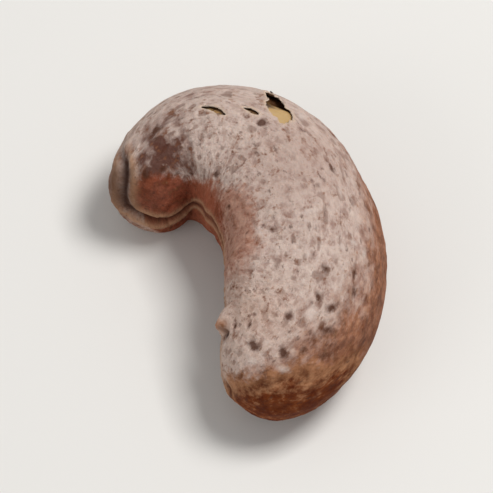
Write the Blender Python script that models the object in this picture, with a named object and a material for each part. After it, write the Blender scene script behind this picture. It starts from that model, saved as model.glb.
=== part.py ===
"""Roasted cashew nut lying on its flank: a curved kernel inside its thin papery skin.

Both pieces are the same plump tube bent into a C. Its spine is a smooth curve through a few
stations, and every section is a rounded shape standing square on that curve. The skin is the
outermost layer of the tube, torn open in four places, and the kernel fills it with a hair of
clearance. Metres, +Z up, the C lies level and opens towards -X, the origin is under its middle.
"""

import math

import bmesh
import bpy
import numpy as np

MM = 0.001

# Stations that draw the spine along, from the thick head to the narrow tail, in millimetres:
# place along X, place along Y, half the width across the C, half the thickness.
STATIONS = np.array(
    [
        (-1.2, -11.1, 4.0, 4.5),
        (2.9, -8.7, 5.15, 5.2),
        (4.55, -3.85, 5.95, 5.7),
        (4.2, 2.0, 5.75, 5.8),
        (1.5, 6.6, 5.4, 5.7),
        (-2.8, 8.4, 5.25, 5.4),
        (-6.6, 7.15, 3.1, 4.6),
        (-8.0, 3.5, 3.1, 3.9),
    ]
)
HEAD_ROUND, HEAD_SQUARENESS = 5.5, 2.3  # mm of spine that the rounding takes; 2 is elliptical
TAIL_ROUND, TAIL_SQUARENESS = 4.1, 3.4  # a blunter tip
INNER_SQUARENESS = 2.8  # the wall inside the C is flatter than the back

# Low relief of the outside, in millimetres. The line where the halves of the kernel meet is a
# groove between two lips inside the C and round the tail, and a faint ridge along the back.
GROOVE_DEPTH, GROOVE_HALF = 0.28, 0.38
LIP_RISE, LIP_FROM_GROOVE = 0.14, 0.75
RIDGE_RISE, RIDGE_HALF = 0.11, 0.5
GROOVED_HERE, GROOVED_PER_MM, GROOVED_AT_TAIL = 0.45, -0.25, 1.3  # share of groove, not ridge
# On the last stretch to the tail the line leaves its level. At the tip it is a rounded corner: it
# comes down over the tip this far outside the middle, and turns inwards this far below it.
TAIL_REACH = 7.2
CORNER_OUT, CORNER_DOWN, CORNER_ROUND = 1.35, 0.5, 1.0
# The upper flank is hollow inside the bend: how deep, how long, and how far across the C.
SHOULDER_DENT, SHOULDER_HALF, SHOULDER_ACROSS = 0.37, 4.6, 2
SHOULDER_AT = 0.63  # share of the way from head to tail
LUMP_RISE, LUMP_SIZE = 0.28, 4.6
WRINKLE_RISE, WRINKLE_SIZE, WRINKLE_STRETCH = 0.11, 1.2, 4.0  # four times as long as wide
ROOM_FOR_RELIEF = 1.7  # the relief fades where the bend leaves less room than one over this
RELIEF_LEFT_INSIDE = 0.5  # share of the relief that the kernel still has

SKIN = 0.4  # thickness of the skin, in mm
CLEARANCE = 0.3  # between the skin and the kernel, in mm
PRESSED_FLAT = 0.16  # how far the resting flank is flattened, in mm

# Tears in the skin. Each has its place as a share of the way from head to tail, the angle round
# the section from the back edge over the top (degrees), its half length and half width in mm,
# how far it is turned from the spine (degrees), and how ragged its rim is (share of its size).
TEARS = {
    "tear_window": (0.715, 4, 2.8, 1.6, 8, 0.14),
    "tear_shoulder": (0.651, 59.5, 0.72, 1.5, 30, 0.18),
    "tear_short_crack": (0.684, 77, 0.5, 0.22, -8, 0.12),
    "tear_long_crack": (0.757, 82, 0.9, 0.20, -30, 0.12),
}
RIM_WAVES = 6  # the raggedness of a rim is made of this many waves round it
TEAR_ABOVE, TEAR_BELOW = 1.3, SKIN + 0.14  # reach of a tear's cutter out of and into the nut
TEAR_SIDES = 22

# Mesh fineness: sides round the section, rings from head to tail.
SKIN_MESH = (60, 58)
CAVITY_MESH = (40, 38)
KERNEL_MESH = (48, 44)
SIDES_CROWD = 0.12  # radians that the sides crowd towards the groove and the ridge
SPINE_SAMPLES = 1401

SKIN_COLOUR = (0.45, 0.31, 0.26, 1)
KERNEL_COLOUR = (0.62, 0.42, 0.19, 1)


def clear_scene():
    for obj in list(bpy.data.objects):
        bpy.data.objects.remove(obj)


def collection(name):
    made = bpy.data.collections.new(name)
    bpy.context.scene.collection.children.link(made)
    return made


def material(name, colour, roughness):
    made = bpy.data.materials.new(name)
    made.use_nodes = True
    shader = made.node_tree.nodes["Principled BSDF"]
    shader.inputs["Base Color"].default_value = colour
    shader.inputs["Roughness"].default_value = roughness
    shader.inputs["Metallic"].default_value = 0
    return made


def along_stations(at):
    """Uniform cubic B-spline drawn by the station rows, from the first to the last of them. `at`
    counts stations, with a fraction."""
    ends = (2 * STATIONS[0] - STATIONS[1], 2 * STATIONS[-1] - STATIONS[-2])
    rows = np.vstack([ends[0], STATIONS, ends[1]])
    first = np.clip(at.astype(int), 0, len(STATIONS) - 2)
    f = (at - first)[:, None]
    a, b, c, d = (rows[first + k] for k in range(4))
    middle = b * (4 - 6 * f**2 + 3 * f**3) + c * (1 + 3 * f + 3 * f**2 - 3 * f**3)
    return (a * (1 - f) ** 3 + middle + d * f**3) / 6


# The spine as a table by length: millimetres from the head end, and the values there.
FINE = along_stations(np.linspace(0, len(STATIONS) - 1, SPINE_SAMPLES))
HEADINGS = np.unwrap(np.arctan2(np.gradient(FINE[:, 1]), np.gradient(FINE[:, 0])))
SPINE_AT = np.concatenate([[0], np.cumsum(np.hypot(*np.diff(FINE[:, :2], axis=0).T))])
SPINE_LENGTH = SPINE_AT[-1]
TURNS = np.gradient(HEADINGS, SPINE_AT)  # radians a millimetre


def spine(x):
    """Place, heading angle, half width and half thickness at `x` mm along the spine."""
    px, py, width, thick = (np.interp(x, SPINE_AT, FINE[:, k]) for k in range(4))
    return px, py, np.interp(x, SPINE_AT, HEADINGS), width, thick


def end_rounding(x, depth):
    """Share of its full size that a section has near a rounded end: a superellipse."""
    head = np.clip((HEAD_ROUND - x) / (HEAD_ROUND - depth), 0, 1)
    tail = np.clip((TAIL_ROUND - SPINE_LENGTH + x) / (TAIL_ROUND - depth), 0, 1)
    at_head = (1 - head**HEAD_SQUARENESS) ** (1 / HEAD_SQUARENESS)
    at_tail = (1 - tail**TAIL_SQUARENESS) ** (1 / TAIL_SQUARENESS)
    return np.minimum(at_head, at_tail)


def ring_place(t, depth):
    """Place along the spine of the ring `t` of the way over the surface, so rings are even."""
    crowded = (1 - np.cos(np.linspace(0, math.pi, SPINE_SAMPLES))) / 2
    x = depth + (SPINE_LENGTH - 2 * depth) * crowded
    radius = (spine(x)[3] - depth) * end_rounding(x, depth)
    over = np.concatenate([[0], np.cumsum(np.hypot(np.diff(x), np.diff(radius)))])
    return np.interp(t * over[-1], over, x)


def section(x, phi, depth):
    """How far out from the spine and up from it, in mm, the smooth outline of the section at `x`
    lies at angle `phi`: a round back, a squarer wall inside the C, all `depth` further in."""
    width, thick = spine(x)[3:]
    share = end_rounding(x, depth)
    power = np.where(np.cos(phi) < 0, 2 / INNER_SQUARENESS, 1)
    out = np.sign(np.cos(phi)) * np.abs(np.cos(phi)) ** power * (width - depth) * share
    up = np.sign(np.sin(phi)) * np.abs(np.sin(phi)) ** power * (thick - depth) * share
    return out, up


def smooth_surface(x, phi, depth):
    """The tube without relief, in mm, with every section standing on the floor."""
    px, py, heading, _, thick = spine(x)
    out, up = section(x, phi, depth)
    z = thick - PRESSED_FLAT + up
    return np.stack([px + out * np.sin(heading), py - out * np.cos(heading), z], axis=-1)


def outward(x, phi, depth):
    """Unit normals of the smooth tube, from small steps along it and round it."""
    dx, dphi = 0.02, 0.01
    low, high = depth + dx, SPINE_LENGTH - depth - dx
    x = np.clip(x, low + dx, high - dx)
    along = smooth_surface(x + dx, phi, depth) - smooth_surface(x - dx, phi, depth)
    around = smooth_surface(x, phi + dphi, depth) - smooth_surface(x, phi - dphi, depth)
    normal = np.cross(along, around)
    return normal / np.linalg.norm(normal, axis=-1, keepdims=True)


def bell(distance, half):
    return np.exp(-((distance / half) ** 2))


def lattice_noise(places, size, seed):
    """Smooth noise from -1 to 1: random values at the corners of cubes of `size` mm, and in each
    cube a blend of its eight corners with eased weights."""
    values = np.random.default_rng(seed).uniform(-1, 1, (32, 32, 32))
    cube = np.floor(places / size).astype(int)
    f = places / size - cube
    ease = f**3 * (f * (6 * f - 15) + 10)
    total = np.zeros(len(places))
    for corner in np.ndindex(2, 2, 2):
        weight = np.prod(np.where(corner, ease, 1 - ease), axis=-1)
        total += weight * values[tuple(((cube + corner) % 32).T)]
    return total


def line_of_halves(x, out, up):
    """Where the halves of the kernel meet: the distance off that line, and how much the line is a
    groove there rather than a ridge. The height under the level line is blended, towards the
    tail, with the distance outside the rounded corner, which is a smooth maximum of two."""
    near_tail = np.clip((x - SPINE_LENGTH + TAIL_REACH) / TAIL_REACH, 0, 1)
    near_tail = near_tail**2 * (3 - 2 * near_tail)
    beside, under = out - CORNER_OUT, -CORNER_DOWN - up
    corner = (beside + under + np.hypot(beside - under, CORNER_ROUND)) / 2
    off_line = (near_tail * corner - (1 - near_tail) * up) / np.hypot(near_tail, 1 - near_tail)
    near_tip = near_tail**3
    grooved = GROOVED_HERE + GROOVED_PER_MM * out * (1 - near_tip) + GROOVED_AT_TAIL * near_tip
    return off_line, np.clip(grooved, 0, 1)


def relief(x, phi):
    """Height of the low relief in mm, by the place on the outermost layer."""
    out, up = section(x, phi, 0)
    off_line, inside = line_of_halves(x, out, up)
    groove = -GROOVE_DEPTH * bell(off_line, GROOVE_HALF)
    lips = LIP_RISE * bell(np.abs(off_line) - LIP_FROM_GROOVE, GROOVE_HALF)
    ridge = RIDGE_RISE * bell(off_line, RIDGE_HALF)
    on_shoulder = bell(x - SHOULDER_AT * SPINE_LENGTH, SHOULDER_HALF) * (up > 0)
    on_shoulder = on_shoulder * bell(out + SHOULDER_ACROSS, SHOULDER_ACROSS)
    places = np.stack([x, out, up], axis=-1)
    lumps = LUMP_RISE * lattice_noise(places, LUMP_SIZE, 1)
    wrinkles = WRINKLE_RISE * lattice_noise(places / (WRINKLE_STRETCH, 1, 1), WRINKLE_SIZE, 2)
    line = inside * (groove + lips) + (1 - inside) * ridge
    room = 1 + out * np.interp(x, SPINE_AT, TURNS)
    height = line - SHOULDER_DENT * on_shoulder + lumps + wrinkles
    return height * np.clip(ROOM_FOR_RELIEF * room, 0, 1)


def nut_surface(x, phi, depth=0.0, lift=0.0):
    """Points in metres on the layer `depth` mm under the outside, raised by `lift` mm. The relief
    fades with depth as far as the kernel, and no layer goes below its own floor."""
    on_outside = (x - depth) * SPINE_LENGTH / (SPINE_LENGTH - 2 * depth)
    fade = 1 - (1 - RELIEF_LEFT_INSIDE) * depth / (SKIN + CLEARANCE)
    height = relief(on_outside, phi) * fade + lift
    points = smooth_surface(x, phi, depth) + outward(x, phi, depth) * height[:, None]
    points[:, 2] = np.maximum(points[:, 2], depth - lift)
    return points * MM


def mesh_object(name, bm, into):
    mesh = bpy.data.meshes.new(name)
    bm.to_mesh(mesh)
    bm.free()
    mesh.shade_smooth()
    made = bpy.data.objects.new(name, mesh)
    into.objects.link(made)
    return made


def layer(name, fineness, depth, into):
    """A UV sphere with its poles drawn out to the two tips and its skin moved onto the nut."""
    sides, rings = fineness
    bm = bmesh.new()
    bmesh.ops.create_uvsphere(bm, u_segments=sides, v_segments=rings, radius=1)
    places = np.array([v.co for v in bm.verts])
    t = np.arccos(np.clip(places[:, 2], -1, 1)) / math.pi
    phi = np.arctan2(places[:, 1], places[:, 0])
    phi = phi - SIDES_CROWD * np.sin(2 * phi)
    for vertex, place in zip(bm.verts, nut_surface(ring_place(t, depth), phi, depth)):
        vertex.co = place
    bmesh.ops.triangulate(bm, faces=bm.faces[:])
    return mesh_object(name, bm, into)


def ragged_rim(name, theta):
    """Distance of a tear's rim from its middle at the angle `theta`, as a share of its size: one
    plus a few sine waves, each with its own start and weaker than the one before."""
    starts = np.random.default_rng(list(TEARS).index(name)).uniform(0, 2 * math.pi, RIM_WAVES)
    waves = [np.sin((k + 2) * theta + start) / (k + 1) for k, start in enumerate(starts)]
    return 1 + TEARS[name][-1] * sum(waves)


def tear_cutter(name, into):
    """A cylinder with a ragged rim, bent onto the nut, that reaches just through the skin."""
    at, angle, half_length, half_width, turn, _ = TEARS[name]
    bm = bmesh.new()
    bmesh.ops.create_cone(
        bm, cap_ends=True, segments=TEAR_SIDES, radius1=1, radius2=1, depth=2
    )
    places = np.array([v.co for v in bm.verts])
    rim = ragged_rim(name, np.arctan2(places[:, 1], places[:, 0]))
    along, across = places[:, 0] * half_length * rim, places[:, 1] * half_width * rim
    cos, sin = math.cos(math.radians(turn)), math.sin(math.radians(turn))
    along, across = along * cos - across * sin, along * sin + across * cos
    x = at * SPINE_LENGTH
    phi = math.radians(angle) + across / spine(x)[3]
    top = places[:, 2] > 0
    above = nut_surface(x + along, phi, 0, TEAR_ABOVE)
    below = nut_surface(x + along, phi, TEAR_BELOW)
    for vertex, outer, high, deep in zip(bm.verts, top, above, below):
        vertex.co = high if outer else deep
    return mesh_object(name, bm, into)


def cut(target, cutter):
    cutter.hide_render = True
    cutter.display_type = "WIRE"
    boolean = target.modifiers.new("cut_" + cutter.name, "BOOLEAN")
    boolean.operation = "DIFFERENCE"
    boolean.solver = "EXACT"
    boolean.object = cutter


def main():
    clear_scene()
    nut = collection("roasted_cashew_nut")
    cutters = collection("cutters")
    skin = layer("skin", SKIN_MESH, 0, nut)
    skin.data.materials.append(material("skin", SKIN_COLOUR, 0.7))
    cut(skin, layer("cavity", CAVITY_MESH, SKIN, cutters))
    for name in TEARS:
        cut(skin, tear_cutter(name, cutters))
    kernel = layer("kernel", KERNEL_MESH, SKIN + CLEARANCE, nut)
    kernel.data.materials.append(material("kernel", KERNEL_COLOUR, 0.45))
    corners = np.array([v.co for v in skin.data.vertices])
    middle = (corners.min(axis=0) + corners.max(axis=0)) / 2
    for obj in [*nut.objects, *cutters.objects]:
        obj.location = (-middle[0], -middle[1], 0)


main()
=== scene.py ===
"""Looks of a roasted cashew nut that lies on its flank: the golden kernel, and round it the thin
papery skin with a few tears. The two are made in the order in which they sit, from the inside.
"""

import math
from collections import namedtuple

import bpy
import numpy as np
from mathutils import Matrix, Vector


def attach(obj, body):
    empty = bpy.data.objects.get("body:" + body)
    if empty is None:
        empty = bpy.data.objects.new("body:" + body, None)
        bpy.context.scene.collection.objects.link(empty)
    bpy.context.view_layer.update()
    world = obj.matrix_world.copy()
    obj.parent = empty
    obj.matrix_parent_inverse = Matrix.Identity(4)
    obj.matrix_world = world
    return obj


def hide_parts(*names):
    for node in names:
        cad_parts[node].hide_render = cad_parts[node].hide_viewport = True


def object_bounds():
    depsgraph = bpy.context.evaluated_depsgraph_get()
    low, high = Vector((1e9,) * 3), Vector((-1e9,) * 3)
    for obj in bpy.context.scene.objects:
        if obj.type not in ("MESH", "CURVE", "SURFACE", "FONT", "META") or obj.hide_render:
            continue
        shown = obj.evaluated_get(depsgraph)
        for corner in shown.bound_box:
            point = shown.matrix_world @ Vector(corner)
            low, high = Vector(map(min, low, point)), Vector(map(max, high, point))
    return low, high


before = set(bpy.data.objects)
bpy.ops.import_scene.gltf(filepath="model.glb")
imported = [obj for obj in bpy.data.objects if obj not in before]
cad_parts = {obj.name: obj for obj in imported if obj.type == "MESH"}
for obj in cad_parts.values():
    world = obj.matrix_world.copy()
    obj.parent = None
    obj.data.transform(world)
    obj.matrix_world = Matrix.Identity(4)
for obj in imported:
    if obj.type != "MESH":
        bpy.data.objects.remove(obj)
cad_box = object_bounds()

# The kernel is the seed itself: two fleshy halves that cling together, bent into a C. It grew
# inside its skin and fills it, and roasting dried it and turned it from ivory to pale gold. It
# shows only through the tears. Lengths are in millimetres until piece() turns them into metres.
MM = 0.001

# Stations that draw the spine along, from the thick head to the narrow tail: place along X,
# place along Y, half the width across the C, half the thickness.
STATIONS = np.array(
    [
        (-1.2, -11.1, 4.0, 4.5),
        (2.9, -8.7, 5.15, 5.2),
        (4.55, -3.85, 5.95, 5.7),
        (4.2, 2.0, 5.75, 5.8),
        (1.5, 6.6, 5.4, 5.7),
        (-2.8, 8.4, 5.25, 5.4),
        (-6.6, 7.15, 3.1, 4.6),
        (-8.0, 3.5, 3.1, 3.9),
    ]
)
HEAD_ROUND, HEAD_SQUARENESS = 5.5, 2.3  # length of spine that the rounding takes; 2 is elliptical
TAIL_ROUND, TAIL_SQUARENESS = 4.1, 3.4  # a blunter tip
INNER_SQUARENESS = 2.8  # the wall inside the C is flatter than the back
PRESSED_FLAT = 0.16  # how far the resting flank is flattened

# Low relief of the outside. The line where the halves of the kernel meet is a groove between two
# lips inside the C and round the tail, and a faint ridge along the back.
GROOVE_DEPTH, GROOVE_HALF = 0.28, 0.38
LIP_RISE, LIP_FROM_GROOVE = 0.14, 0.75
RIDGE_RISE, RIDGE_HALF = 0.11, 0.5
GROOVED_HERE, GROOVED_PER_MM, GROOVED_AT_TAIL = 0.45, -0.25, 1.3  # share of groove, not ridge
# On the last stretch to the tail the line leaves its level. At the tip it is a rounded corner: it
# comes down over the tip this far outside the middle, and turns inwards this far below it.
TAIL_REACH = 7.2
CORNER_OUT, CORNER_DOWN, CORNER_ROUND = 1.35, 0.5, 1.0
# The upper flank is hollow inside the bend: how deep, how long, how far across the C, and where.
SHOULDER_DENT, SHOULDER_HALF, SHOULDER_ACROSS, SHOULDER_AT = 0.37, 4.6, 2, 0.63
LUMP_RISE, LUMP_SIZE = 0.28, 4.6
WRINKLE_RISE, WRINKLE_SIZE, WRINKLE_STRETCH = 0.11, 1.2, 4.0  # four times as long as wide
ROOM_FOR_RELIEF = 1.7  # relief fades where the bend leaves less room than one over this

# Fine relief of the dry skin, which the kernel under it takes too. Each is so high, so large and
# so many times as long as wide.
VEIN_RISE, VEIN_SIZE, VEIN_STRETCH = 0.06, 1.3, 1.5
VEIN_HALF, VEIN_SWAY = 0.3, 0.35  # half width in values of their noise, and how far they sway
FINER_NET, FINER_THINNER = 0.7, 1.2  # a second net of veins is finer and thinner by these
FOLD_RISE, FOLD_SIZE, FOLD_STRETCH = 0.035, 0.6, 3.5
DIMPLE_DEPTH, DIMPLE_SIZE, DIMPLE_STRETCH = 0.05, 0.46, 1.4
DIMPLE_STARTS, DIMPLE_FULL = 0.3, 0.8  # in values of their noise
SPECK_DEPTH, FLAKE_RISE = 0.08, 0.03
RIM_AT, RIM_HALF, RIM_STRENGTH = 1.7, 0.6, 0.3  # pale rim round a speck, in its own half sizes

# A mark on the surface: its middle as a share of the spine from the head and an angle round the
# section from the back edge over the top (degrees), its half length along the spine and half
# width round the section, how far it is turned (degrees), and its strength.
Mark = namedtuple("Mark", "at angle half_length half_width turn strength", defaults=(0, 1))
DARK_SPECKS = [
    Mark(0.70, 134, 0.55, 0.40, 0, 1.2),
    Mark(0.364, 107, 0.35, 0.28, 30, 0.8),
    Mark(0.281, 74, 0.40, 0.28, 80, 0.8),
    Mark(0.158, 86, 0.42, 0.36, 0, 1.0),
    Mark(0.212, 60, 0.30, 0.52, 30, 0.9),
    Mark(0.068, 90, 0.30, 0.50, 15, 1.0),
    Mark(0.101, 68, 0.28, 0.60, -10, 1.0),
    Mark(0.222, 73, 0.24, 0.46, -40, 0.8),
    Mark(0.26, 46, 0.46, 0.22, 10, 0.8),
    Mark(0.181, 52, 0.32, 0.70, 25, 0.9),
    Mark(0.147, 40, 0.30, 0.34, 0, 0.8),
    Mark(0.133, 58, 0.24, 0.26, 0, 0.7),
    Mark(0.462, 77, 0.28, 0.24, 0, 0.7),
    Mark(0.498, 60, 0.44, 0.22, 0, 0.8),
    Mark(0.433, 50, 0.40, 0.24, 10, 0.7),
    Mark(0.289, 49, 0.44, 0.22, -10, 0.8),
    Mark(0.688, 84, 0.26, 0.28, 0, 0.4),
    Mark(0.652, 82.5, 0.32, 0.36, 0, 1.3),
    Mark(0.874, 72, 0.42, 0.38, 0, 1.0),
    Mark(0.935, 105, 0.30, 0.30, 0, 0.9),
    Mark(0.957, 91, 0.30, 0.26, 0, 0.9),
    Mark(0.861, 140, 0.34, 0.24, 0, 0.8),
    Mark(0.517, 146, 0.34, 0.24, 0, 0.8),
    Mark(0.714, 108, 0.30, 0.24, 0, 0.7),
    Mark(0.065, 124, 0.22, 0.26, 0, 0.9),
    Mark(0.086, 104, 0.22, 0.26, 0, 0.8),
    Mark(0.112, 106, 0.22, 0.22, 0, 0.8),
]
PALE_FLAKES = [
    Mark(0.188, 72, 0.55, 0.45, 20, 0.9),
    Mark(0.085, 56, 0.30, 0.80, 28, 1.0),
    Mark(0.050, 80, 0.30, 0.90, 28, 1.0),
    Mark(0.089, 86, 0.26, 0.42, 0, 0.8),
    Mark(0.331, 62, 0.50, 0.22, 30, 0.9),
    Mark(0.349, 53, 0.22, 0.50, 0, 0.9),
    Mark(0.336, 43, 0.50, 0.22, -20, 0.9),
    Mark(0.401, 86, 0.24, 0.80, 10, 0.9),
    Mark(0.451, 60, 0.65, 0.24, 0, 0.8),
    Mark(0.301, 88, 0.32, 0.42, 0, 0.8),
    Mark(0.243, 87, 0.26, 0.26, 0, 1.0),
    # This last flake, beside the shoulder's tear, is a painted highlight: the glint of the curled edge.
    Mark(0.618, 51, 0.30, 0.60, 20, 1.0),
]
# Small beak on the inner side of the head: a slope of this length that runs up towards the head
# and ends in a step, with a notch in the skin under it. The kernel leaves room for the notch.
BEAK, BEAK_STEP = Mark(0.057, 155, 2.6, 1.2), 0.2
NOTCH_HALF, NOTCH_ROOM, ROOM_HALF_LENGTH, ROOM_HALF_WIDTH = 0.28, 0.4, 0.6, 1.3
# Between the shoulder's tear and the window, the kernel fills the skin closer. Under the back edge
# of the shoulder's tear it has a dip, so the skin stands off there.
SNUG, SNUG_RISE = Mark(0.676, 29, 1.5, 0.7), 0.06
DIP, DIP_DEPTH = Mark(0.666, 47.5, 1.2, 0.6, 30), 0.35

# The tears of the skin. Each is laid out like a mark. Then come how ragged its rim is, as a share
# of its size, how far the skin's edge curls up, how far in from that edge the kernel is darkened
# by painted shade, the shadow under the skin's edge and in the cracks, and how much further each
# of those two goes on the tear's back side.
Tear = namedtuple("Tear", "at angle half_length half_width turn ragged curl stain back_curl back_stain")
TEARS = {
    "tear_window": Tear(0.715, 4, 2.8, 1.6, 8, 0.14, 0.14, 0.05, 0, 0),
    "tear_shoulder": Tear(0.651, 59.5, 0.72, 1.5, 30, 0.18, 0.03, 0.03, 0.19, 1.1),
    "tear_short_crack": Tear(0.684, 77, 0.5, 0.22, -8, 0.12, 0.03, 0.60, 0.05, 0.05),
    "tear_long_crack": Tear(0.757, 82, 0.9, 0.20, -30, 0.12, 0.03, 0.40, 0.10, 0.10),
}
RIM_WAVES = 6  # the raggedness of a rim is made of this many waves round it
FINE_TEETH = [(11, 0.04), (17, 0.03)]  # and of finer ones: how many teeth, and how deep
BACK_SIDE = 0.35, -0.94  # direction of that side, along and across the tear

KERNEL_DEPTH = 0.18  # of the kernel's surface under the outside of the skin
KERNEL_RINGS, KERNEL_SIDES = 230, 170
SPINE_SAMPLES, OUTLINE_SAMPLES, DENSITY_SAMPLES = 1401, 200, 4001  # places each is worked out at
POLE_GAP = 0.004  # share of the surface between an end's pole and its first ring
# Where the grids are finer: by how much, round which share of the surface or which angle in
# radians, and how far to either side of it.
FINER_RINGS = {"tears": (1.1, 0.69, 0.09), "tail": (0.4, 0.97, 0.04), "beak": (1.2, 0.085, 0.025)}
FINER_SIDES = {"cracks": (0.9, 1.25, 0.38), "groove": (0.5, math.pi, 0.25)}
UPPER_FINER = 0.35


def along_stations(at):
    """Uniform cubic B-spline drawn by the station rows, from the first to the last of them. `at`
    counts stations, with a fraction."""
    ends = (2 * STATIONS[0] - STATIONS[1], 2 * STATIONS[-1] - STATIONS[-2])
    rows = np.vstack([ends[0], STATIONS, ends[1]])
    first = np.clip(at.astype(int), 0, len(STATIONS) - 2)
    f = (at - first)[:, None]
    a, b, c, d = (rows[first + k] for k in range(4))
    middle = b * (4 - 6 * f**2 + 3 * f**3) + c * (1 + 3 * f + 3 * f**2 - 3 * f**3)
    return (a * (1 - f) ** 3 + middle + d * f**3) / 6


FINE = along_stations(np.linspace(0, len(STATIONS) - 1, SPINE_SAMPLES))
HEADINGS = np.unwrap(np.arctan2(np.gradient(FINE[:, 1]), np.gradient(FINE[:, 0])))
SPINE_AT = np.concatenate([[0], np.cumsum(np.hypot(*np.diff(FINE[:, :2], axis=0).T))])
SPINE_LENGTH = SPINE_AT[-1]
TURNS = np.gradient(HEADINGS, SPINE_AT)


def spine(x):
    """Place, heading angle, half width and half thickness at `x` along the spine, straight
    between its samples."""
    px, py, width, thick = (np.interp(x, SPINE_AT, FINE[:, k]) for k in range(4))
    return px, py, np.interp(x, SPINE_AT, HEADINGS), width, thick


def end_rounding(x, depth):
    """Share of its full size that a section has near a rounded end: a superellipse."""
    head = np.clip((HEAD_ROUND - x) / (HEAD_ROUND - depth), 0, 1)
    tail = np.clip((TAIL_ROUND - SPINE_LENGTH + x) / (TAIL_ROUND - depth), 0, 1)
    at_head = (1 - head**HEAD_SQUARENESS) ** (1 / HEAD_SQUARENESS)
    at_tail = (1 - tail**TAIL_SQUARENESS) ** (1 / TAIL_SQUARENESS)
    return np.minimum(at_head, at_tail)


def ring_place(t, depth):
    """Place along the spine of the ring `t` of the way over the surface, so rings are even: the
    steps of length and radius are added up, and this is where the sum is `t` of the whole."""
    crowded_ends = (1 - np.cos(np.linspace(0, math.pi, SPINE_SAMPLES))) / 2
    x = depth + (SPINE_LENGTH - 2 * depth) * crowded_ends
    radius = (spine(x)[3] - depth) * end_rounding(x, depth)
    over = np.concatenate([[0], np.cumsum(np.hypot(np.diff(x), np.diff(radius)))])
    return np.interp(t * over[-1], over, x)


def section(x, phi, depth):
    """How far out from the spine and up from it the smooth outline of the section at `x` lies at
    angle `phi`: an ellipse on the back, a squarer superellipse on the wall inside the C."""
    width, thick = spine(x)[3:]
    share = end_rounding(x, depth)
    power = np.where(np.cos(phi) < 0, 2 / INNER_SQUARENESS, 1)
    out = np.sign(np.cos(phi)) * np.abs(np.cos(phi)) ** power * (width - depth) * share
    up = np.sign(np.sin(phi)) * np.abs(np.sin(phi)) ** power * (thick - depth) * share
    return out, up


def unbent(x, phi):
    """Places as if the nut were straight: along the spine, out from it, up from it."""
    return np.stack([x, *section(x, phi, 0)], axis=-1)


def smooth_surface(x, phi, depth):
    """The tube without relief: every section stands square on the spine and on the floor. A point
    is the spine's place, plus the section's way out square to the heading, and the way up."""
    px, py, heading, _, thick = spine(x)
    out, up = section(x, phi, depth)
    z = thick - PRESSED_FLAT + up
    return np.stack([px + out * np.sin(heading), py - out * np.cos(heading), z], axis=-1)


def outward(x, phi, depth):
    """Unit normals of the smooth tube: a small step along it crossed with one round it. At the
    poles, where a step round it has no length, those of the nearest rings stand in."""
    dx, dphi = 0.02, 0.01
    low, high = depth + dx, SPINE_LENGTH - depth - dx
    x = np.clip(x, low + dx, high - dx)
    along = smooth_surface(x + dx, phi, depth) - smooth_surface(x - dx, phi, depth)
    around = smooth_surface(x, phi + dphi, depth) - smooth_surface(x, phi - dphi, depth)
    normal = np.cross(along, around)
    return normal / np.linalg.norm(normal, axis=-1, keepdims=True)


def bell(distance, half):
    """A bell curve: 1 at no distance, and e to the power -1 at `half`."""
    return np.exp(-((distance / half) ** 2))


def ease(start, stop, value):
    """From 0 at `start` to 1 at `stop`, slow at both ends: three times the square of the share of
    the way, less twice its cube."""
    t = np.clip((value - start) / (stop - start), 0, 1)
    return t * t * (3 - 2 * t)


def lattice_noise(places, size, seed):
    """Smooth noise from -1 to 1: random values at the corners of cubes of `size`, and in each
    cube a blend of its eight corners with eased weights."""
    values = np.random.default_rng(seed).uniform(-1, 1, (32, 32, 32))
    cube = np.floor(places / size).astype(int)
    f = places / size - cube
    ease_in = f**3 * (f * (6 * f - 15) + 10)
    total = np.zeros(len(places))
    for corner in np.ndindex(2, 2, 2):
        weight = np.prod(np.where(corner, ease_in, 1 - ease_in), axis=-1)
        total += weight * values[tuple(((cube + corner) % 32).T)]
    return total


def line_of_halves(x, phi):
    """Where the halves of the kernel meet: how far off that line a place is, and how much the
    line is a groove there rather than a ridge. The height under the level line is blended,
    towards the tail, with the distance outside a rounded corner, a smooth maximum of two."""
    out, up = section(x, phi, 0)
    near_tail = ease(0, 1, (x - SPINE_LENGTH + TAIL_REACH) / TAIL_REACH)
    beside, under = out - CORNER_OUT, -CORNER_DOWN - up
    corner = (beside + under + np.hypot(beside - under, CORNER_ROUND)) / 2
    off_line = (near_tail * corner - (1 - near_tail) * up) / np.hypot(near_tail, 1 - near_tail)
    near_tip = near_tail**3
    grooved = GROOVED_HERE + GROOVED_PER_MM * out * (1 - near_tip) + GROOVED_AT_TAIL * near_tip
    return off_line, np.clip(grooved, 0, 1)


def room_for_relief(x, phi):
    """How much of the relief there is room for: all of it on the back, and less inside the bend,
    with one plus the distance out from the spine times how fast the spine turns."""
    room = 1 + section(x, phi, 0)[0] * np.interp(x, SPINE_AT, TURNS)
    return np.clip(ROOM_FOR_RELIEF * room, 0, 1)


def relief(x, phi):
    """Height of the low relief: the groove with its two lips and the ridge as bells across their
    line, less a dent on the shoulder, plus lumps and wrinkles of noise."""
    out, up = section(x, phi, 0)
    off_line, grooved = line_of_halves(x, phi)
    groove = -GROOVE_DEPTH * bell(off_line, GROOVE_HALF)
    lips = LIP_RISE * bell(np.abs(off_line) - LIP_FROM_GROOVE, GROOVE_HALF)
    ridge = RIDGE_RISE * bell(off_line, RIDGE_HALF)
    on_shoulder = bell(x - SHOULDER_AT * SPINE_LENGTH, SHOULDER_HALF) * (up > 0)
    on_shoulder = on_shoulder * bell(out + SHOULDER_ACROSS, SHOULDER_ACROSS)
    places = unbent(x, phi)
    lumps = LUMP_RISE * lattice_noise(places, LUMP_SIZE, 1)
    wrinkles = WRINKLE_RISE * lattice_noise(places / (WRINKLE_STRETCH, 1, 1), WRINKLE_SIZE, 2)
    line = grooved * (groove + lips) + (1 - grooved) * ridge
    return (line - SHOULDER_DENT * on_shoulder + lumps + wrinkles) * room_for_relief(x, phi)


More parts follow.
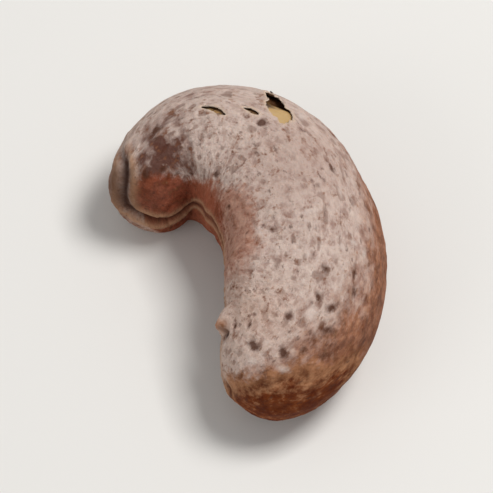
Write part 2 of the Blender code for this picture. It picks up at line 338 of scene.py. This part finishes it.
def place_in(mark, x, phi):
    """How far along and across a mark or tear each place is: the steps along the spine and round
    the section from its middle, turned by its own angle."""
    middle, radius = mark.at * SPINE_LENGTH, spine(mark.at * SPINE_LENGTH)[4]
    along, across = x - middle, (phi - math.radians(mark.angle)) * radius
    cos, sin = math.cos(math.radians(mark.turn)), math.sin(math.radians(mark.turn))
    return along * cos + across * sin, across * cos - along * sin


def in_mark(mark, x, phi, ring=0.0, half=1.0):
    """A bell over a mark, or over a ring round its middle, in the mark's own half sizes."""
    along, across = place_in(mark, x, phi)
    return bell(np.hypot(along / mark.half_length, across / mark.half_width) - ring, half)


def near_marks(table, x, phi, ring=0.0, half=1.0):
    """The strongest of a table's marks at each place: its bell times its strength."""
    return np.max([mark.strength * in_mark(mark, x, phi, ring, half) for mark in table], axis=0)


def fine_fields(x, phi):
    """The dry skin's veins, which sway and run where a noise crosses zero, its folds and dimples,
    both noise, and its marks. The folds go from -1 to 1, the others from 0 to about 1."""
    places = unbent(x, phi)
    sway = np.stack([lattice_noise(places, VEIN_SIZE, seed) for seed in (35, 36, 37)], axis=-1)
    swayed = (places + VEIN_SWAY * sway) / (VEIN_STRETCH, 1, 1)
    net = np.abs(lattice_noise(swayed, VEIN_SIZE, 31))
    finer_net = np.abs(lattice_noise(swayed, FINER_NET * VEIN_SIZE, 32))
    veins = np.clip(1 - np.minimum(net, FINER_THINNER * finer_net) / VEIN_HALF, 0, 1)
    folds = lattice_noise(places / (FOLD_STRETCH, 1, 1), FOLD_SIZE, 33)
    hollows = lattice_noise(places / (DIMPLE_STRETCH, 1, 1), DIMPLE_SIZE, 34)
    dimples = ease(DIMPLE_STARTS, DIMPLE_FULL, hollows)
    rims = RIM_STRENGTH * near_marks(DARK_SPECKS, x, phi, RIM_AT, RIM_HALF)
    flakes = np.maximum(near_marks(PALE_FLAKES, x, phi), rims)
    return veins, folds, dimples, near_marks(DARK_SPECKS, x, phi), flakes


def nut_surface(x, phi, depth, lift):
    """The layer `depth` under the outside, raised along its normals by the relief, by the fine
    relief that fades where the bend is tight, and by `lift`. It never goes below its own floor."""
    on_outside = (x - depth) * SPINE_LENGTH / (SPINE_LENGTH - 2 * depth)
    veins, folds, dimples, specks, flakes = fine_fields(on_outside, phi)
    fine = VEIN_RISE * veins + FOLD_RISE * folds + FLAKE_RISE * flakes
    fine -= DIMPLE_DEPTH * dimples + SPECK_DEPTH * specks
    height = relief(on_outside, phi) + fine * room_for_relief(on_outside, phi)
    points = smooth_surface(x, phi, depth) + outward(x, phi, depth) * (height + lift)[:, None]
    points[:, 2] = np.maximum(points[:, 2], depth)
    return points


def tear_value(name, x, phi):
    """Below 1 inside a tear and above 1 outside: the distance from its middle, over that of its
    rim in the same direction. The rim is an ellipse with sine waves round it."""
    tear = TEARS[name]
    along, across = place_in(tear, x, phi)
    theta = np.arctan2(across / tear.half_width, along / tear.half_length)
    starts = np.random.default_rng(list(TEARS).index(name)).uniform(0, 2 * math.pi, RIM_WAVES)
    waves = sum(np.sin((k + 2) * theta + start) / (k + 1) for k, start in enumerate(starts))
    teeth = sum(deep * np.sin(n * theta + start) for (n, deep), start in zip(FINE_TEETH, starts))
    rim = 1 + tear.ragged * waves + teeth
    return np.hypot(along / tear.half_length, across / tear.half_width) / rim


def from_rim(name, x, phi):
    """Signed distance out from a tear's rim, which is that from its middle less the rim's own,
    and how much a place lies to its back side: the square of the cosine between its direction
    from the middle and that side's."""
    value = np.maximum(tear_value(name, x, phi), 1e-6)
    along, across = place_in(TEARS[name], x, phi)
    reach = np.maximum(np.hypot(along, across), 1e-6)
    cosine = (BACK_SIDE[0] * along + BACK_SIDE[1] * across) / reach
    return reach * (1 - 1 / value), np.clip(cosine, 0, 1) ** 2


def ring_density(t):
    """How close together the rings lie: 1, plus a bell for each place where they are finer."""
    return sum((finer * bell(t - at, half) for finer, at, half in FINER_RINGS.values()), 1)


def side_density(angle):
    """How close together the sides lie: 1, plus a sine that is highest on the upper flank, a bell
    at the cracks, and one at the groove, where the angles of the two sides meet."""
    cracks, cracks_at, cracks_half = FINER_SIDES["cracks"]
    groove, groove_at, groove_half = FINER_SIDES["groove"]
    near_groove = groove * bell(np.abs(angle) - groove_at, groove_half)
    return 1 + UPPER_FINER * np.sin(angle) + cracks * bell(angle - cracks_at, cracks_half) + near_groove


def crowded(count, start, stop, density):
    """`count` values from start to stop, spaced by the reciprocal of `density` at each value."""
    fine = np.linspace(start, stop, DENSITY_SAMPLES)
    total = np.cumsum(density(fine))
    return np.interp((np.arange(count) + 0.5) / count * total[-1], total, fine)


def tube(rings, sides, depth):
    """Grid of a closed tube: the two parameters of every point, ring by ring with a pole after
    the last ring for each end, its quads, and the triangles round the poles."""
    t = crowded(rings, POLE_GAP, 1 - POLE_GAP, ring_density)
    phi = crowded(sides, -math.pi, math.pi, side_density)
    x, phi = (a.ravel() for a in np.meshgrid(ring_place(t, depth), phi, indexing="ij"))
    x, phi = np.append(x, [depth, SPINE_LENGTH - depth]), np.append(phi, [0, 0])
    ring, side = np.meshgrid(np.arange(rings - 1), np.arange(sides), indexing="ij")
    here = (ring * sides + side).ravel()
    beside = (ring * sides + (side + 1) % sides).ravel()
    quads = np.stack([here, here + sides, beside + sides, beside], axis=-1)
    first, second = np.arange(sides), (np.arange(sides) + 1) % sides
    last = (rings - 1) * sides
    head_pole, tail_pole = np.full(sides, rings * sides), np.full(sides, rings * sides + 1)
    head_fan = np.stack([head_pole, first, second], axis=-1)
    tail_fan = np.stack([first + last, tail_pole, second + last], axis=-1)
    return x, phi, quads, np.vstack([head_fan, tail_fan])


# The spine is drawn in its own coordinates. This sets the tube's middle on that of the CAD's box.
outline_x, outline_phi = np.meshgrid(
    ring_place(np.linspace(0, 1, OUTLINE_SAMPLES), 0), np.linspace(-math.pi, math.pi, OUTLINE_SAMPLES))
outline = smooth_surface(outline_x.ravel(), outline_phi.ravel(), 0)
outline_middle = (outline.min(axis=0) + outline.max(axis=0)) / 2
cad_middle = (np.array(cad_box[0]) + np.array(cad_box[1])) / 2 / MM
ONTO_CAD = np.array([*(cad_middle - outline_middle)[:2], 0])


def piece(name, points, faces, fields):
    """A mesh object from points in millimetres and lists of faces, with a point attribute for
    each of `fields`."""
    mesh = bpy.data.meshes.new(name)
    mesh.from_pydata((points + ONTO_CAD) * MM, [], [f for group in faces for f in group.tolist()])
    for field, values in fields.items():
        kind, key = ("FLOAT_VECTOR", "vector") if values.ndim == 2 else ("FLOAT", "value")
        mesh.attributes.new(field, kind, "POINT").data.foreach_set(key, values.ravel())
    mesh.shade_smooth()
    made = bpy.data.objects.new(name, mesh)
    bpy.context.scene.collection.objects.link(made)
    return made


def linear(hex_colour):
    """sRGB hex to the linear colour that a shader takes, by the sRGB curve: straight near black,
    and a power of 2.4 above that."""
    parts = [int(hex_colour[k : k + 2], 16) / 255 for k in (0, 2, 4)]
    return (*(p / 12.92 if p <= 0.04045 else ((p + 0.055) / 1.055) ** 2.4 for p in parts), 1)


def add(tree, kind, feeds={}, **settings):
    """A shader node. Each of `feeds` is a socket of another node to link, or a plain value."""
    node = tree.nodes.new(kind)
    for name, value in settings.items():
        setattr(node, name, value)
    for socket, value in feeds.items():
        if isinstance(value, bpy.types.NodeSocket):
            tree.links.new(value, node.inputs[socket])
        else:
            node.inputs[socket].default_value = value
    return node


def new_material(name, finish):
    """A material with one surface shader, set to the values of `finish`: the material, its node
    tree and the shader."""
    made = bpy.data.materials.new(name)
    made.use_nodes = True
    made.node_tree.nodes.clear()
    shader = add(made.node_tree, "ShaderNodeBsdfPrincipled", finish)
    add(made.node_tree, "ShaderNodeOutputMaterial", {"Surface": shader.outputs["BSDF"]})
    return made, made.node_tree, shader


# Sockets of a Mix node that blends colours: its factor, its two colours and its result.
MIX_FACTOR, MIX_UNDER, MIX_OVER, MIX_RESULT = 0, 6, 7, 2


def laid_over(tree, ground, layers):
    """The colour `ground` after each layer is laid over it in turn. A layer is a value, where on
    it the layer starts and where it is full, how much it then covers, and its colour. A colour
    is sRGB hex or a socket."""
    colour = linear(ground) if isinstance(ground, str) else ground
    for value, start, full, most, tint in layers:
        tint = linear(tint) if isinstance(tint, str) else tint
        feeds = {"Value": value, "From Min": start, "From Max": full, "To Max": most}
        cover = add(tree, "ShaderNodeMapRange", feeds).outputs[0]
        feeds = {MIX_FACTOR: cover, MIX_UNDER: colour, MIX_OVER: tint}
        colour = add(tree, "ShaderNodeMix", feeds, data_type="RGBA").outputs[MIX_RESULT]
    return colour


# The kernel's surface is puckered, and leaves room for the notch.
PUCKER_RISE, PUCKER_SIZE = 0.012, 0.4
x, phi, quads, fans = tube(KERNEL_RINGS, KERNEL_SIDES, KERNEL_DEPTH)
places = unbent(x, phi)
puckers = PUCKER_RISE * lattice_noise(places, PUCKER_SIZE, 21) - PUCKER_RISE
along, across = place_in(BEAK, x, phi)
past_step = along + BEAK_STEP + NOTCH_HALF
puckers -= NOTCH_ROOM * bell(past_step, ROOM_HALF_LENGTH) * bell(across, ROOM_HALF_WIDTH)
puckers += SNUG_RISE * in_mark(SNUG, x, phi) - DIP_DEPTH * in_mark(DIP, x, phi)

# Where the kernel took more heat, and how far in from each tear's rim it is darkened by painted
# shade, the shadow under the skin's lifted edge and in the cracks.
TOAST_SIZE, FINER_TOAST_SIZE, FINER_TOAST = 2.6, 0.9, 0.4
TOAST_STARTS, TOAST_FULL = -0.1, 0.75  # in values of its noise
PARTING_HALF = 0.3  # half width of the dark line where the halves meet
toast = lattice_noise(places, TOAST_SIZE, 23)
toast += FINER_TOAST * lattice_noise(places, FINER_TOAST_SIZE, 24)
shade_under_skin = np.zeros_like(x)
for name, tear in TEARS.items():
    beyond, to_back = from_rim(name, x, phi)
    reach = tear.stain + tear.back_stain * to_back
    shade_under_skin = np.maximum(shade_under_skin, bell(np.minimum(beyond, 0), reach) * (beyond < 1))
kernel = piece("roasted_kernel", nut_surface(x, phi, KERNEL_DEPTH, puckers), [quads, fans], {
    "unbent": places,
    "toasted": ease(TOAST_STARTS, TOAST_FULL, toast),
    "parting": bell(line_of_halves(x, phi)[0], PARTING_HALF),
    "shade_under_skin": shade_under_skin,
})

# Roasted cashew flesh: starchy and oily, so it is smooth, half matt and a little translucent.
# It is ivory gold, with biscuit brown where it took more heat, and has pores of about 0.15 mm.
CLOUD_SIZE, PORE_SIZE, PORE_DEPTH = 1.4, 0.15, 0.02
flesh, tree, shader = new_material("oil_roasted_cashew_flesh", {
    "Roughness": 0.42,
    "Subsurface Weight": 0.15,
    "Subsurface Radius": (1.0, 0.6, 0.3),
    "Subsurface Scale": 0.8 * MM,
})
along = add(tree, "ShaderNodeAttribute", attribute_name="unbent").outputs["Vector"]
clouds = add(tree, "ShaderNodeTexNoise", {"Vector": along, "Scale": 1 / CLOUD_SIZE, "Detail": 4})
layers = [(clouds.outputs["Fac"], 0, 1, 1, "B38E58")]
# The last tint is painted shade: near black where the skin's edge and the cracks would shade it.
for name, tint in {"toasted": "B98A4E", "parting": "8A5C2E", "shade_under_skin": "4A2C14"}.items():
    field = add(tree, "ShaderNodeAttribute", attribute_name=name)
    layers.append((field.outputs["Fac"], 0, 1, 1, tint))
tree.links.new(laid_over(tree, "C9A976", layers), shader.inputs["Base Color"])
pores = add(tree, "ShaderNodeTexNoise", {"Vector": along, "Scale": 1 / PORE_SIZE, "Detail": 2})
feeds = {"Height": pores.outputs["Fac"], "Strength": 0.35, "Distance": PORE_DEPTH * MM}
tree.links.new(add(tree, "ShaderNodeBump", feeds).outputs["Normal"], shader.inputs["Normal"])
kernel.data.materials.append(flesh)
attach(kernel, "root")
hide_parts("kernel")

# The skin is the seed's own coat, a dry papery layer a tenth of a millimetre thick that clings
# to the kernel. It dried in fine folds, browned at the head and inside the C, and is torn in
# four places, where its edge has curled away from the kernel.

SKIN_RINGS, SKIN_SIDES = 260, 188
PAPER = 0.11  # thickness of the skin
CURL_REACH, TORN_REACH = 0.4, 0.16  # how far from a rim the curl and the bared fibre reach
ZIGZAG = 0.05  # how far single points of a rim stand in or out
BEAK_RISE = 0.9
NOTCH_DEPTH, NOTCH_OFF = 0.26, 0.3  # how deep, and how far its middle is off the beak's
NOTCH_WIDTH = 0.8  # share of the beak's width
LIP_HALF = 0.36  # half width of the colour on the lips beside the groove


def place_from(tear, along, across):
    """The reverse of place_in: place along the spine and angle, from the steps along and across a
    tear, turned back by its own angle."""
    middle, radius = tear.at * SPINE_LENGTH, spine(tear.at * SPINE_LENGTH)[4]
    cos, sin = math.cos(math.radians(tear.turn)), math.sin(math.radians(tear.turn))
    round_it = (along * sin + across * cos) / radius
    return middle + along * cos - across * sin, math.radians(tear.angle) + round_it


# A quad whose corners lie inside a tear on average is left out. The points that this leaves on
# the edge of the hole are moved onto the tear's rim, each with its own bit of zigzag.
x, phi, quads, fans = tube(SKIN_RINGS, SKIN_SIDES, 0)
curl, torn = np.zeros_like(x), np.zeros_like(x)
zigzag = np.random.default_rng(51).uniform(-ZIGZAG, ZIGZAG, len(x))
for name, tear in TEARS.items():
    open_quads = tear_value(name, x, phi)[quads].mean(axis=1) < 1
    rim = np.intersect1d(quads[open_quads], quads[~open_quads])
    quads = quads[~open_quads]
    along, across = place_in(tear, x[rim], phi[rim])
    to_rim = 1 / tear_value(name, x[rim], phi[rim]) + zigzag[rim] / np.hypot(along, across)
    x[rim], phi[rim] = place_from(tear, along * to_rim, across * to_rim)
    beyond, to_back = from_rim(name, x, phi)
    beyond = np.maximum(beyond, 0)
    curl += (tear.curl + tear.back_curl * to_back) * bell(beyond, CURL_REACH)
    torn = np.maximum(torn, bell(beyond, TORN_REACH))

places = unbent(x, phi)
share, angle = x / SPINE_LENGTH, np.degrees(phi)
round_inside = np.where(angle < -90, angle + 360, angle)  # goes on past 180 inside the C
veins, _, dimples, specks, flakes = fine_fields(x, phi)
off_line, grooved = line_of_halves(x, phi)

# Noise that frays the borders of the coloured regions: for each seed its size and its weight.
FRAYS = {41: (1.6, 1), 42: (0.7, 0.7), 43: (0.35, 0.5)}
fray = sum(weight * lattice_noise(places, size, seed) for seed, (size, weight) in FRAYS.items())


def along_spine(rows):
    """Straight from value to value between the shares of the spine that the rows give."""
    return np.interp(share, *np.transpose(rows))


def inside_the_c(edge, fade, fraying, fullness):
    """A region of the inner wall. It is eased in across its edge, an angle, by the two angles of
    `fade` before and past it, and fades out again low on the wall."""
    past_edge = round_inside + fraying * fray - along_spine(edge)
    return ease(*fade, past_edge) * ease(*LOW_ON_WALL, round_inside) * along_spine(fullness)


def patch(at, half_share, middle, half_angle):
    """A soft patch: a bell along the spine times a bell round the section."""
    return bell(share - at, half_share) * bell(angle - middle, half_angle)


# The inner wall is red brown, its own colour darkened in part as painted shade inside the C, and
# paler about its middle as painted light that offsets the shade of the bend. A rosy fringe lies
# above it. Rows of share of the spine and the angle where each begins, then of share and how full
# it is.
LOW_ON_WALL = 255, 215
RED_EDGE = [(0.2, 190), (0.42, 180), (0.5, 168), (0.56, 156), (0.7, 152), (0.8, 153), (0.87, 150),
            (0.915, 142), (0.945, 110), (0.965, 86), (1, 70)]
RED_FULL = [(0.2, 0), (0.3, 0.5), (0.5, 0.8), (0.8, 1)]
ROSY_EDGE = [(0.08, 150), (0.14, 125), (0.28, 124), (0.38, 121), (0.51, 121), (0.56, 134),
             (0.62, 142), (0.8, 150)]
ROSY_FULL = [(0.06, 0), (0.1, 0.25), (0.2, 0.3), (0.32, 1)]
reddened = inside_the_c(RED_EDGE, fade=(-22, 16), fraying=6, fullness=RED_FULL)
rosy = inside_the_c(ROSY_EDGE, fade=(-14, 12), fraying=5, fullness=ROSY_FULL)
LIT_BEND_AT, LIT_BEND_HALF = 0.73, 0.12
painted_light_at_bend = bell(share - LIT_BEND_AT, LIT_BEND_HALF)

# The back is toasted brown up to this angle, and fades out on the underside. Along the arch, past
# the middle of the spine, the weaker brown is partly painted shade on the top edge.
BROWN_FADE, BROWN_FRAYING, BROWN_UNDERSIDE = (-26, 18), 8, (-175, -95)
BROWN_EDGE = [(0, 84), (0.03, 69), (0.08, 59), (0.13, 55), (0.18, 50), (0.24, 44), (0.3, 39),
              (0.42, 32), (0.55, 20), (0.7, 12), (0.85, 22), (1, 30)]
BROWN_FULL = [(0.5, 1), (0.62, 0.6)]
browned = ease(*BROWN_FADE, along_spine(BROWN_EDGE) - angle + BROWN_FRAYING * fray)
browned = browned * ease(*BROWN_UNDERSIDE, angle) * along_spine(BROWN_FULL)

# Low on the back of the head it is scorched: from one angle down to another, round this share.
SCORCHED_FADE, SCORCHED_AT, SCORCHED_HALF = (40, -5), 0.16, 0.16
scorched = ease(*SCORCHED_FADE, angle) * bell(share - SCORCHED_AT, SCORCHED_HALF)

# The head's end is roasted darkest, and the darkest brown at its very end is partly painted shade.
# The brown starts this far towards it, and is full this far.
TO_BROWN_END, BROWN_END_FRAYING = np.array([0.2, -0.883, -0.469]), 0.6
BROWN_END_STARTS, BROWN_END_FULL = 6.2, 9.0
to_end = smooth_surface(x, phi, 0) @ TO_BROWN_END + BROWN_END_FRAYING * fray
end_brown_and_shade = np.clip((to_end - BROWN_END_STARTS) / (BROWN_END_FULL - BROWN_END_STARTS), 0, 1)

# A dusky blotch by the tail and a fainter one under it, both broken up by the noise: partly the
# skin's own dark mottle, partly painted shadow over the tail.
DUSKY_BELOW, DUSKY_LEVEL, DUSKY_FRAYING, DUSKY_MOST = 0.45, 1.05, 0.75, 1.2
dusky_and_shade = patch(at=0.91, half_share=0.09, middle=95, half_angle=35)
dusky_and_shade += DUSKY_BELOW * patch(at=0.865, half_share=0.045, middle=136, half_angle=14)
dusky_and_shade *= np.clip(DUSKY_LEVEL + DUSKY_FRAYING * fray, 0, DUSKY_MOST)

# The tail's tip is darkened on the back as painted shade, a stretch of the bend's flank is plainer,
# and one on the inner side of the head is a pale pink.
TIP_FADE, TIP_ANGLE, TIP_HALF = (0.93, 0.965), 35, 50
shaded_tip = ease(*TIP_FADE, share) * bell(angle - TIP_ANGLE, TIP_HALF)
calm = patch(at=0.52, half_share=0.13, middle=78, half_angle=45)
pale_pink = patch(at=0.12, half_share=0.09, middle=118, half_angle=42)

# The beak is its slope eased up, times its step eased down, times a bell across it. The notch is
# a bell along it, times one across. The tip's colour lies just on the slope's side of the step.
BEAK_TIP_AT, BEAK_TIP_HALF = 0.1, 0.4
along, across = place_in(BEAK, x, phi)
on_beak = bell(across, BEAK.half_width)
beak = BEAK_RISE * ease(BEAK.half_length, 0, along) * ease(-BEAK_STEP, 0, along) * on_beak
notch = bell(along + BEAK_STEP + NOTCH_HALF / 2, NOTCH_HALF)
notch = notch * bell(across + NOTCH_OFF, NOTCH_WIDTH * BEAK.half_width)

lift = curl + beak - NOTCH_DEPTH * notch
skin = piece("papery_skin", nut_surface(x, phi, 0, lift), [quads, fans], {
    "unbent": places,
    "veins": veins,
    "dimples": dimples,
    "specks": specks,
    "flakes": flakes,
    "reddened": reddened,
    "rosy": rosy,
    "calm": calm,
    "browned": browned,
    "scorched": scorched,
    "end_brown_and_shade": end_brown_and_shade,
    "dusky_and_shade": dusky_and_shade,
    "shaded_tip": shaded_tip,
    "painted_light_at_bend": painted_light_at_bend,
    "pale_pink": pale_pink,
    "groove": grooved * bell(off_line, PARTING_HALF),
    "lips": grooved * bell(np.abs(off_line) - LIP_FROM_GROOVE, LIP_HALF),
    "beak_tip": bell(along - BEAK_TIP_AT, BEAK_TIP_HALF) * on_beak,
    "notch": notch,
    "torn": torn,
})
paper = skin.modifiers.new("paper_thickness", "SOLIDIFY")
paper.thickness = PAPER * MM
paper.offset = -1
paper.material_offset = 1
paper.material_offset_rim = 2

# Dry seed coat: papery, matt and slightly translucent. It is a pinkish fawn with paler veins and
# darker pores between them, red brown inside the C, toasted brown at the head's end. Painted shade
# darkens the tail, the groove, the notch, the inner wall and the head's end further, and painted
# light brightens the bend's inner wall and a glint beside the shoulder's tear.
coat, tree, shader = new_material("dry_papery_seed_coat", {
    "Specular IOR Level": 0.13,
    "Subsurface Weight": 0.08,
    "Subsurface Radius": (1.0, 0.5, 0.3),
    "Subsurface Scale": 0.4 * MM,
})
along = add(tree, "ShaderNodeAttribute", attribute_name="unbent").outputs["Vector"]

# The coat's textures: the size of their features, their detail and roughness, and how many times
# as long as wide they are. Real grain and fibres are finer than these, but would not show.
TEXTURES = {
    "tones": (3.0, 3, 0.5, 1.0),
    "mottle": (0.8, 6, 0.68, 1.0),
    "flecks": (0.3, 5, 0.65, 1.5),
    "pits": (0.4, 3, 0.6, 1.8),
    "grain": (0.09, 2, 0.5, 1.0),
    "fibres": (0.11, 3, 0.6, 4.0),
}
value_of = {}
for name, (size, detail, roughness, stretch) in TEXTURES.items():
    mapped = add(tree, "ShaderNodeMapping", {"Vector": along, "Scale": (1 / stretch, 1, 1)})
    feeds = {"Vector": mapped.outputs[0], "Scale": 1 / size, "Detail": detail, "Roughness": roughness}
    value_of[name] = add(tree, "ShaderNodeTexNoise", feeds).outputs["Fac"]
CRUMPLE_SIZE = 0.75
crumples = add(tree, "ShaderNodeTexNoise", {
    "Vector": along, "Scale": 1 / CRUMPLE_SIZE, "Detail": 5, "Roughness": 0.6, "Offset": 1.0, "Gain": 1.6,
}, noise_type="RIDGED_MULTIFRACTAL")
value_of["crumples"] = crumples.outputs["Fac"]

# The coat's regions as they are.
for name in ("veins", "calm", "pale_pink", "painted_light_at_bend", "scorched", "lips", "shaded_tip", "groove", "beak_tip",
             "notch", "torn"):
    value_of[name] = add(tree, "ShaderNodeAttribute", attribute_name=name).outputs["Fac"]

# The regions whose borders are frayed: the mottle and the flecks are added to them by these
# weights. As that adds 1 on average, 1 is taken off again.
FRAYED_BY = {"mottle": 1.1, "flecks": 0.9}
for name in ("dimples", "dusky_and_shade", "rosy", "reddened", "browned", "end_brown_and_shade", "flakes", "specks"):
    field = add(tree, "ShaderNodeAttribute", attribute_name=name).outputs["Fac"]
    for texture, weight in FRAYED_BY.items():
        feeds = {0: value_of[texture], 1: weight, 2: field}
        field = add(tree, "ShaderNodeMath", feeds, operation="MULTIPLY_ADD").outputs[0]
    value_of[name] = add(tree, "ShaderNodeMath", {0: field, 1: 1.0}, operation="SUBTRACT").outputs[0]

# Each roasted colour is a lighter tone mottled with a darker one, which starts at one value of the
# mottle and is full at another. Two of them have a third.
DARKER_STARTS, DARKER_FULL = 0.38, 0.62
ROASTED = {
    "rose": ("B38570", "905C49"),
    "red_brown": ("914A30", "662B14"),
    "toast": ("9A5E3B", "603118"),
    "roast": ("AB7956", "74472C"),
    # The darkest tint is partly painted shade at the head's very end.
    "burnt_and_shade": ("79380E", "511B02"),
}
tints = {
    name: laid_over(tree, light, [(value_of["mottle"], DARKER_STARTS, DARKER_FULL, 1, dark)])
    for name, (light, dark) in ROASTED.items()
}
# Painted light: the red brown is paler about the bend's middle, to offset the shade there.
tints["red_brown"] = laid_over(tree, tints["red_brown"], [(value_of["painted_light_at_bend"], 0, 1, 0.6, "A95E42")])
tints["toast"] = laid_over(tree, tints["toast"], [(value_of["flecks"], 0.5, 0.7, 0.4, "BE8C6A")])

# What is laid over the fawn ground, in this order: its own tones, its veins and pores, the
# regions, the line where the halves meet, and the marks on top. Each row is a layer.
COAT_LAYERS = [
    ("tones", 0.36, 0.64, 1, "B9A095"),
    ("mottle", 0.5, 0.7, 0.4, "7C5F52"),
    ("mottle", 0.46, 0.32, 0.45, "D0B9AC"),
    ("flecks", 0.5, 0.66, 0.65, "DCC8BC"),
    ("flecks", 0.48, 0.33, 0.5, "84665A"),
    ("crumples", 0.9, 1.5, 0.4, "DAC6BA"),
    ("crumples", 0.55, 0.2, 0.5, "75574A"),
    ("fibres", 0.5, 0.7, 0.3, "886A5D"),
    ("veins", 0, 1, 0.4, "D8C3B6"),
    ("dimples", 0.3, 0.8, 0.55, "6A4C3F"),
    ("calm", 0, 1, 0.5, "AA8E82"),
    ("pale_pink", 0, 1, 0.45, "D4B29F"),
    # Partly the skin's dusky mottle, partly painted shadow over the tail.
    ("dusky_and_shade", 0.12, 0.85, 0.92, "50291D"),
    ("rosy", 0.1, 0.8, 0.85, tints["rose"]),
    ("reddened", 0.15, 0.8, 0.94, tints["red_brown"]),
    ("browned", 0.1, 0.95, 0.9, tints["toast"]),
    ("scorched", 0, 1, 0.45, "5E3020"),
    # Roasted brown towards the head's end, darkest at the very end, which is partly painted shade.
    ("end_brown_and_shade", 0.05, 0.4, 0.9, tints["roast"]),
    ("end_brown_and_shade", 0.62, 0.95, 0.95, tints["burnt_and_shade"]),
    ("lips", 0, 1, 0.8, "AC8466"),
    # Painted shade on the back of the tail's tip.
    ("shaded_tip", 0, 1, 0.72, "54321E"),
    # The line where the halves meet is near black: painted shade in its groove.
    ("groove", 0, 1, 0.9, "34190F"),
    ("pits", 0.6, 0.72, 0.65, "4E3327"),
    ("flakes", 0.3, 1, 0.6, "DCCBC1"),
    ("specks", 0.2, 0.8, 0.9, "4C2C1E"),
    ("beak_tip", 0, 1, 0.85, "B07A58"),
    # The notch is near black: painted shade in its hollow under the beak.
    ("notch", 0, 1, 1, "2A0E06"),
    ("torn", 0, 1, 0.9, "CDB49F"),
]
colour = laid_over(tree, "A4887D", [(value_of[name], *rest) for name, *rest in COAT_LAYERS])
tree.links.new(colour, shader.inputs["Base Color"])

# The paper is uneven by the mottle, with less of each finer texture on top, and matt by its grain.
PAPER_RELIEF = 0.07
LEAST_ROUGH, MOST_ROUGH = 0.7, 0.95
rise = value_of["mottle"]
for name, weight in {"crumples": 0.5, "fibres": 0.3, "grain": 0.15}.items():
    feeds = {0: value_of[name], 1: weight, 2: rise}
    rise = add(tree, "ShaderNodeMath", feeds, operation="MULTIPLY_ADD").outputs[0]
feeds = {"Height": rise, "Strength": 1.0, "Distance": PAPER_RELIEF * MM}
tree.links.new(add(tree, "ShaderNodeBump", feeds).outputs["Normal"], shader.inputs["Normal"])
feeds = {"Value": value_of["grain"], "To Min": LEAST_ROUGH, "To Max": MOST_ROUGH}
tree.links.new(add(tree, "ShaderNodeMapRange", feeds).outputs[0], shader.inputs["Roughness"])

# Inner side of the coat: smoother, pale tan, faintly oily where it lay on the kernel.
OIL_STAIN_SIZE = 0.8
lining, tree, shader = new_material("inner_side_of_seed_coat", {"Roughness": 0.5})
along = add(tree, "ShaderNodeAttribute", attribute_name="unbent").outputs["Vector"]
stains = add(tree, "ShaderNodeTexNoise", {"Vector": along, "Scale": 1 / OIL_STAIN_SIZE, "Detail": 4})
colour = laid_over(tree, "C9AC92", [(stains.outputs["Fac"], 0, 1, 1, "A37F63")])
tree.links.new(colour, shader.inputs["Base Color"])

# Torn edge of the coat: clean dry fibre, paler than either side. Real fibres are finer than
# these, but would not show.
FIBRE_SIZE = 0.2
edge, tree, shader = new_material("torn_edge_of_seed_coat", {"Roughness": 0.8})
along = add(tree, "ShaderNodeAttribute", attribute_name="unbent").outputs["Vector"]
fibres = add(tree, "ShaderNodeTexNoise", {"Vector": along, "Scale": 1 / FIBRE_SIZE, "Detail": 3})
colour = laid_over(tree, "EBDACB", [(fibres.outputs["Fac"], 0, 1, 1, "CDB29D")])
tree.links.new(colour, shader.inputs["Base Color"])

for material in (coat, lining, edge):
    skin.data.materials.append(material)
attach(skin, "root")
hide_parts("skin")

# Floor, light and camera. The floor is plain and pale. A wide soft light hangs over the nut to
# the right, a weaker one fills in from the left. The camera looks down at the photo's angle.
# Lengths are in metres here.
FLOOR_HALF = 2
corners = [(-FLOOR_HALF, -FLOOR_HALF, 0), (FLOOR_HALF, -FLOOR_HALF, 0),
           (FLOOR_HALF, FLOOR_HALF, 0), (-FLOOR_HALF, FLOOR_HALF, 0)]
floor_mesh = bpy.data.meshes.new("floor")
floor_mesh.from_pydata(corners, [], [(0, 1, 2, 3)])
floor = bpy.data.objects.new("floor", floor_mesh)
bpy.context.scene.collection.objects.link(floor)
pale, _, _ = new_material("plain_pale_floor", {"Base Color": linear("E4E1DC"), "Roughness": 0.8})
floor_mesh.materials.append(pale)

world = bpy.data.worlds.new("studio")
bpy.context.scene.world = world
world.use_nodes = True
world.node_tree.nodes["Background"].inputs["Color"].default_value = linear("F2F4F6")
world.node_tree.nodes["Background"].inputs["Strength"].default_value = 0.4
bpy.context.scene.view_settings.view_transform = "Standard"

NUT_MIDDLE = np.array([0, 0, 0.0055])  # what the lights and the camera are turned to


def soft_light(name, place, size, power):
    """A square area light at `place`, turned to the nut."""
    light = bpy.data.lights.new(name, "AREA")
    light.size, light.energy = size, power
    made = bpy.data.objects.new(name, light)
    made.location = place
    look = Vector(NUT_MIDDLE - np.array(place))
    made.rotation_euler = look.to_track_quat("-Z", "Y").to_euler()
    bpy.context.scene.collection.objects.link(made)


soft_light("key", place=(0.16, 0.06, 0.36), size=0.14, power=1.2)
soft_light("fill", place=(-0.34, -0.22, 0.20), size=0.3, power=0.35)

ELEVATION, DISTANCE = math.radians(62), 0.5
FOCAL_LENGTH, SENSOR_WIDTH = 500, 36  # in millimetres, a long lens
camera = bpy.data.cameras.new("camera")
camera.lens, camera.sensor_width = FOCAL_LENGTH, SENSOR_WIDTH
camera.clip_start, camera.clip_end = 0.01, 10
viewer = bpy.data.objects.new("camera", camera)
viewer.location = NUT_MIDDLE + DISTANCE * np.array([0, -math.cos(ELEVATION), math.sin(ELEVATION)])
viewer.rotation_euler = (math.pi / 2 - ELEVATION, 0, 0)
bpy.context.scene.collection.objects.link(viewer)
bpy.context.scene.camera = viewer
